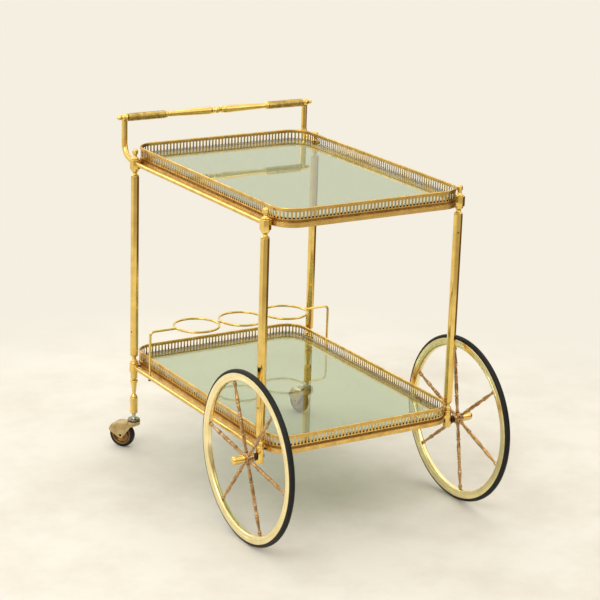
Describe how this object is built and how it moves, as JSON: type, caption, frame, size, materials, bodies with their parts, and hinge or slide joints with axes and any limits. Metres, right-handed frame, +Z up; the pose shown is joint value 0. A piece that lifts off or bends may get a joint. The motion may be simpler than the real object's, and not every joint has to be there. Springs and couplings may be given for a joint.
{
  "type": "bar cart",
  "caption": "Two-tier brass serving trolley with pierced tray galleries, glass panes, big spoked wheels at one end, swivel casters at the other, a push bar and a bottle rack.",
  "frame": {"origin": "on the floor below the middle of the cart's bounding box", "axes": "+X to the cart's right seen from the large wheels, +Y from the large wheels at the front towards the push bar and casters at the rear, +Z up"},
  "size_m": [0.54, 0.7421, 0.7001],
  "materials": {
    "brass": "polished, lightly aged",
    "wheel_brass": "pale polished",
    "spoke_brass": "satin",
    "antique_brass": "aged",
    "zinc": "dull plated",
    "dark_steel": "blackened",
    "rubber": "matt",
    "glass": "clear, faintly green"
  },
  "bodies": {
    "frame": {"caster_stems": "zinc", "finials": "brass", "front_left_post": "brass", "front_left_top_block": "brass", "front_right_post": "brass", "front_right_top_block": "brass", "handle_end_buttons": "brass", "handle_spindle": "brass", "left_axle": "dark_steel", "left_axle_block": "brass", "left_bottle_ring": "brass", "left_foot": "brass", "left_grip": "brass", "left_handle_collar": "brass", "left_handle_upright": "brass", "left_hub_cap": "wheel_brass", "left_rack_arm": "brass", "lower_gallery": "brass", "lower_glass": "glass", "lower_left_rail": "brass", "lower_right_rail": "brass", "lower_tray_frame": "brass", "middle_bottle_ring": "brass", "rack_nuts": "dark_steel", "rear_left_post": "brass", "rear_left_top_block": "brass", "rear_right_post": "brass", "rear_right_top_block": "brass", "right_axle": "dark_steel", "right_axle_block": "brass", "right_bottle_ring": "brass", "right_foot": "brass", "right_grip": "brass", "right_handle_collar": "brass", "right_handle_upright": "brass", "right_hub_cap": "wheel_brass", "right_rack_arm": "brass", "tie_rods": "dark_steel", "tray_screws": "dark_steel", "upper_gallery": "brass", "upper_glass": "glass", "upper_left_rail": "brass", "upper_right_rail": "brass", "upper_tray_frame": "brass"},
    "left_wheel": {"left_hub": "wheel_brass", "left_spokes": "spoke_brass", "left_rim": "wheel_brass", "left_tyre": "rubber"},
    "left_caster_swivel": {"left_caster_fork": "antique_brass", "left_caster_pin": "antique_brass"},
    "left_caster_roller": {"left_caster_wheel": "antique_brass", "left_caster_tyre": "rubber"},
    "right_wheel": {"right_hub": "wheel_brass", "right_spokes": "spoke_brass", "right_rim": "wheel_brass", "right_tyre": "rubber"},
    "right_caster_swivel": {"right_caster_fork": "antique_brass", "right_caster_pin": "antique_brass"},
    "right_caster_roller": {"right_caster_wheel": "antique_brass", "right_caster_tyre": "rubber"}
  },
  "joints": [
    {"name": "left_wheel_spin", "type": "hinge", "parent": "frame", "child": "left_wheel", "pos_m": [-0.237, -0.20453, 0.166], "axis": [1, 0, 0], "continuous": true},
    {"name": "right_wheel_spin", "type": "hinge", "parent": "frame", "child": "right_wheel", "pos_m": [0.237, -0.20453, 0.166], "axis": [1, 0, 0], "continuous": true},
    {"name": "left_caster_turn", "type": "hinge", "parent": "frame", "child": "left_caster_swivel", "pos_m": [-0.211, 0.31547, 0.057], "axis": [0, 0, 1], "continuous": true},
    {"name": "left_caster_spin", "type": "hinge", "parent": "left_caster_swivel", "child": "left_caster_roller", "pos_m": [-0.22701, 0.33596, 0.027], "axis": [-0.788, -0.6157, 0], "continuous": true},
    {"name": "right_caster_turn", "type": "hinge", "parent": "frame", "child": "right_caster_swivel", "pos_m": [0.211, 0.31547, 0.057], "axis": [0, 0, 1], "continuous": true},
    {"name": "right_caster_spin", "type": "hinge", "parent": "right_caster_swivel", "child": "right_caster_roller", "pos_m": [0.20783, 0.34128, 0.027], "axis": [-0.9925, -0.1219, 0], "continuous": true}
  ]
}
